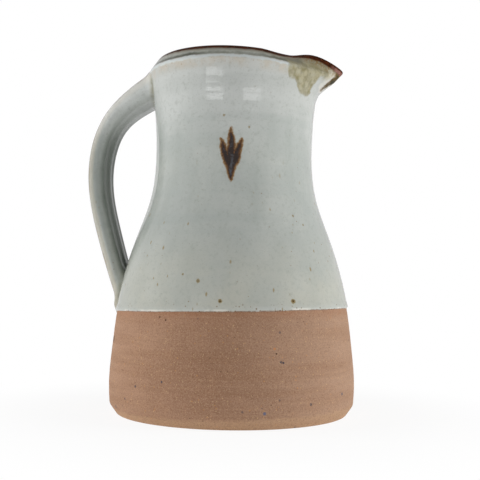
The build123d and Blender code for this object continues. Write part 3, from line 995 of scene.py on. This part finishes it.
def glaze(name, joint=False, ink=False, deep=0):
    """Pale celadon over stoneware: mottled, flecked with iron, thin and warm where it breaks over an edge."""
    s = Shade(name)
    middle, fine, grain = s.noise(9, 4), s.noise(2.4), s.noise(0.8, 2)
    paint_ground(s, middle, fine, grain, ridge_shade=not joint)
    if deep:
        s.paint((128, 138, 130), deep)
    paint_rim(s)
    iron_and_shade_wedge = paint_spout(s)
    dots = paint_iron(s, fine, grain)
    dull = s.math("MAXIMUM", iron_and_shade_wedge, s.times(paint_lip(s), 0.85))
    bend = s.math("SUBTRACT", GLAZE_BEND, s.times(dull, 0.38))
    if joint:
        dull = s.math("MAXIMUM", dull, s.times(paint_strap(s), 0.8))
    if ink:
        paint_mark(s)
    rough = s.step(middle, 0.3, 0.75, 0.05, 0.09)
    height = s.plus(s.times(middle, 0.4), s.times(fine, 0.08), s.times(dots, -0.4))
    shine = s.math("SUBTRACT", 0.5, s.times(dull, 0.46))
    return s.finish(rough, height, 0.02, IOR=bend, Specular_IOR_Level=shine)

def bare_clay(name, dark=0):
    """Unglazed stoneware: toasted brown, gritty, with pale and dark grains and faint wheel rings; painted shade to
    the front and back, a painted sheen to the right and painted light on the heel.
    """
    s = Shade(name)
    line, grain, sand = s.mask("line"), s.noise(0.9, 3, 0.65), s.noise(0.45, 2, 0.6)
    scored = s.noise(2.4, 2, 0.6, (0.06, 0.06, 2))
    s.colour = s.mix(s.cloud(40, 0.3, 0.7), (176, 140, 116), (188, 151, 126))
    # Painted shade: darker towards the front and the back
    s.paint((136, 98, 72), 0.6, s.mask("front_and_back"), s.cloud(30, 0.2, 0.7, 0.6, 2))
    # Painted sheen: greyer towards the right
    s.paint((172, 146, 126), 0.4, s.step(s.mask("right_sheen"), 0.55, 1))
    s.paint((150, 112, 86), 0.4, s.step(s.noise(9, 2, 0.5, (0.1, 0.1, 1.6)), 0.4, 0.68))
    s.paint((196, 158, 126), 0.2, s.step(scored, 0.5, 0.75))
    s.paint((180, 140, 110), 0.35, s.cloud(6, 0.5, 0.8, detail=4))
    # Painted light: the heel lighter, as if lit from the floor
    s.paint((200, 166, 132), 0.5, s.step(s.plus(line, s.times(s.noise(3), 2.4)), -53, -56))
    s.paint((130, 95, 72), 0.45, s.step(grain, 0.48, 0.7))
    s.paint((194, 154, 118), 0.35, s.step(grain, 0.46, 0.3))
    s.paint((204, 170, 140), 0.45, s.step(sand, 0.5, 0.3))
    pale = s.specks(1.5, 0.55, 0.22, 0.1)
    s.paint((216, 184, 138), 0.75, pale)
    s.paint((200, 146, 94), 0.6, s.specks(3, 0.7, 0.34, 0.14))
    s.paint((92, 66, 52), 0.7, s.specks(3.1, 0.5, 0.26, 0.12))
    bits = s.times(s.specks(8.5, 0.34, 0.6, 0.25), s.cloud(1.2, 0.3, 0.5))
    s.paint((80, 76, 84), 0.85, bits)
    for azimuth, z, radius, tone in CLAY_BITS:
        s.paint(tone, 0.9, s.spot(on_wall(azimuth, z), radius))
    s.paint((160, 110, 78), 0.4, s.step(line, -7, 0), s.cloud(8, 0.3, 0.7, 0.4))
    if dark:
        s.paint((120, 104, 78), dark)
    grit = ((grain, 0.7), (scored, 0.3), (sand, 0.4), (pale, 0.4), (bits, -0.8))
    height = s.plus(*(s.times(value, share) for value, share in grit))
    return s.finish(s.step(grain, 0.3, 0.7, 0.8, 0.92), height, 0.2, IOR=CLAY_BEND, Specular_IOR_Level=0.3)

def dress(obj, material):
    obj.data.materials.clear()
    obj.data.materials.append(material)

for piece, slot, nodes, material in (
    (clay_pot, "clay", ("stoneware_body",), bare_clay("toasted_clay")),
    (celadon_coat, "celadon", ("outer_glaze",), glaze("celadon_glaze")),
    (liner_coat, "liner", ("liner_glaze",), glaze("liner_glaze", deep=0.15)),
    (rim_wash, "iron", ("rim_iron_wash",), glaze("iron_rim")),
    (handle_coat, "celadon", ("handle_glaze",), glaze("handle_celadon", joint=True)),
    (handle_core, "handle_clay", ("pulled_handle",), bare_clay("handle_clay")),
    (brush_patch, "pigment", ("brush_mark",), glaze("iron_mark", ink=True)),
):
    dress(piece, material)
    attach(piece, "root")
    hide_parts(*nodes)

slip = bare_clay("slip_bead", dark=0.5)
for node in ("upper_handle_slip", "lower_handle_slip"):
    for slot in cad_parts[node].material_slots:
        slot.material = slip

# Floor and world, in metres: both lit softly, and plain white where the camera looks past the jug

FLOOR_RADIUS, FLOOR_DROP = 1.6, 0.0002
FLOOR_TONE, FLOOR_GLOW = (0.86, 0.86, 0.86), 0.3
SHADE_START, SHADE_END, SHADE_WHITE = 0.075, 0.2, 0.84
GLOSSY_WHITE = 0.55
FRONT_LIGHT, BACK_LIGHT, SKY_TONE = 0.16, 0.2, (0.97, 0.985, 1.0)

def white_for_camera(n, lit, white, share):
    """A lit shader, with plain white for the camera and glass, and partly for mirrors."""
    path = n.node("LightPath")
    seen = path["Is Camera Ray"]
    for key, strength in (("Is Glossy Ray", GLOSSY_WHITE), ("Is Transmission Ray", 1.0)):
        seen = n.math("MAXIMUM", seen, n.times(path[key], strength))
    return n.node("MixShader", n.times(seen, share), lit, white)[0]

def floor_material():
    material = bpy.data.materials.new("pale_floor")
    material.use_nodes = True
    n = Nodes(material.node_tree)
    lit = n.node("BsdfDiffuse", Color=FLOOR_TONE)[0]
    glow = n.node("Emission", Strength=FLOOR_GLOW)[0]
    table = n.node("AddShader", lit, glow)[0]
    white = n.node("Emission")[0]
    away = n.vector("LENGTH", n.node("TexCoord")["Object"])["Value"]
    share = n.step(away, SHADE_START, SHADE_END, SHADE_WHITE, 1.0)
    n.node("OutputMaterial", white_for_camera(n, table, white, share))
    return material

def studio_world():
    world = bpy.data.worlds.new("studio")
    world.use_nodes = True
    n = Nodes(world.node_tree)
    facing = n.node("SeparateXYZ", n.node("TexCoord")["Generated"])["Y"]
    grade = n.step(facing, -1.0, 1.0, FRONT_LIGHT, BACK_LIGHT, kind="LINEAR")
    soft = n.node("Background", Color=SKY_TONE, Strength=grade)[0]
    white = n.node("Background", Color=(1, 1, 1))[0]
    n.node("OutputWorld", white_for_camera(n, soft, white, 1.0))
    return world

bpy.ops.mesh.primitive_circle_add(
    vertices=96, radius=FLOOR_RADIUS, fill_type="NGON", location=(0, 0, -FLOOR_DROP)
)
floor = bpy.context.object
floor.name = "floor"
dress(floor, floor_material())
scene.world = studio_world()

# Lights and camera, in metres, placed as the camera sees them

VIEW_TURN, VIEW_DISTANCE, VIEW_HEIGHT, VIEW_ROLL = math.radians(10.0), 0.48, 0.0725, 0.0115
SENSOR, LENS, NEAREST = 36.0, 60.0, 0.01
FRAME_PIXELS, SHIFT_PIXELS = 480, (7.5, 50.0)
# Soft boxes that mirrors don't show: name, place, size and power
BOX_AIM = (0, 0, 0.1)
BOXES = (
    ("left_box", (-1.0, -0.12, 0.25), (0.7, 1.0), 8.4),
    ("right_box", (1.0, -0.16, 0.25), (0.7, 1.0), 9.8),
    ("front_fill", (0.0, -1.3, 0.2), (1.0, 0.6), 1.5),
)
# Window panes that the glaze reflects: place to the right and up, height and radiance
PANE_AIM, PANE_AWAY, PANE_WIDTH = (0, 0, 0.18), -1.0, 0.46
PANES = (
    (-0.51, -0.03, 0.07, 2.0),
    (-0.51, 0.105, 0.095, 2.4),
    (-0.51, 0.21, 0.034, 3.4),
    (0.43, -0.03, 0.06, 2.0),
    (0.43, 0.208, 0.034, 2.9),
)

def seen_from_camera(right, away, up):
    """A place by how far right, away and up it lies from the jug's axis, for the camera."""
    c, n = math.cos(VIEW_TURN), math.sin(VIEW_TURN)
    return Vector((right * c - away * n, right * n + away * c, up))

def soft_box(name, place, aim, size, power):
    light = bpy.data.lights.new(name, "AREA")
    light.shape = "RECTANGLE"
    light.size, light.size_y = size
    light.energy = power
    obj = bpy.data.objects.new(name, light)
    scene.collection.objects.link(obj)
    obj.location = seen_from_camera(*place)
    obj.rotation_euler = (Vector(aim) - obj.location).to_track_quat("-Z", "Y").to_euler()
    return obj

for name, place, size, power in BOXES:
    soft_box(name, place, BOX_AIM, size, power).visible_glossy = False
for right, up, tall, radiance in PANES:
    power = radiance * math.pi * PANE_WIDTH * tall
    soft_box("window_pane", (right, PANE_AWAY, up), PANE_AIM, (PANE_WIDTH, tall), power)

camera = bpy.data.cameras.new("camera")
camera.sensor_width, camera.lens, camera.clip_start = SENSOR, LENS, NEAREST
camera.shift_x, camera.shift_y = (pixels / FRAME_PIXELS for pixels in SHIFT_PIXELS)
viewer = bpy.data.objects.new("camera", camera)
scene.collection.objects.link(viewer)
pose = Matrix.Translation(seen_from_camera(0.0, -VIEW_DISTANCE, VIEW_HEIGHT))
for turn, axis in ((VIEW_TURN, "Z"), (math.pi / 2, "X"), (VIEW_ROLL, "Z")):
    pose = pose @ Matrix.Rotation(turn, 4, axis)
viewer.matrix_world = pose
scene.camera = viewer
scene.view_settings.view_transform = "Standard"
